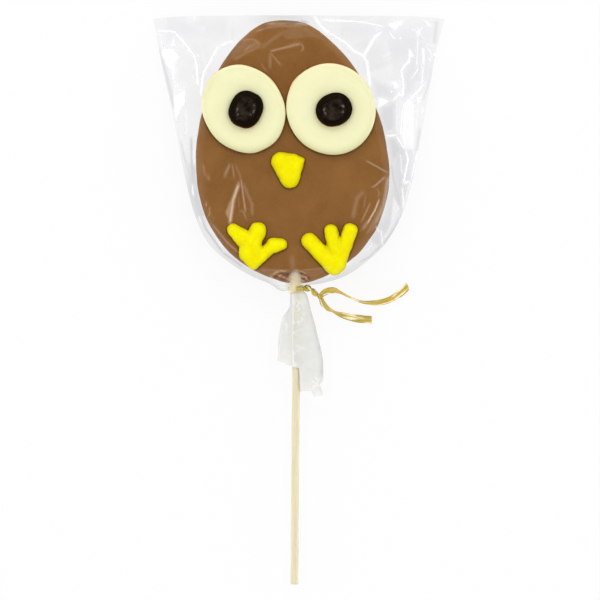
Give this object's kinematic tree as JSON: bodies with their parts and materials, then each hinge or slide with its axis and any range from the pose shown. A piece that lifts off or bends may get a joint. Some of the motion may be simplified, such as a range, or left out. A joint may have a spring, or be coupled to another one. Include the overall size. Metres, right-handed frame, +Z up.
{
  "type": "marshmallow lollipop",
  "caption": "Chocolate-coated egg-shaped marshmallow with an owlet face on a wooden stick, in a clear bag tied with ribbon.",
  "frame": {"origin": "middle of the footprint, on the surface that the lollipop lies on", "axes": "+Y from the stick's end towards the sealed top of the bag, +Z up out of the face, +X to the right as the face is seen"},
  "size_m": [0.1314, 0.256, 0.024],
  "materials": {
    "chocolate": "smooth milk chocolate coating with a soft sheen",
    "white_chocolate": "smooth ivory white chocolate",
    "dark_chocolate": "polished dark chocolate",
    "icing": "set yellow icing",
    "wood": "plain pale birch, unvarnished",
    "film": "clear crinkled bag film",
    "ribbon": "gold raffia-like paper ribbon with fine lengthwise ridges"
  },
  "bodies": {
    "root": {"head": "chocolate", "eye_left": "white_chocolate", "eye_right": "white_chocolate", "pupil_left": "dark_chocolate", "pupil_right": "dark_chocolate", "beak": "icing", "foot_left": "icing", "foot_right": "icing", "stick": "wood", "bag": "film", "tie": "ribbon"}
  },
  "joints": []
}
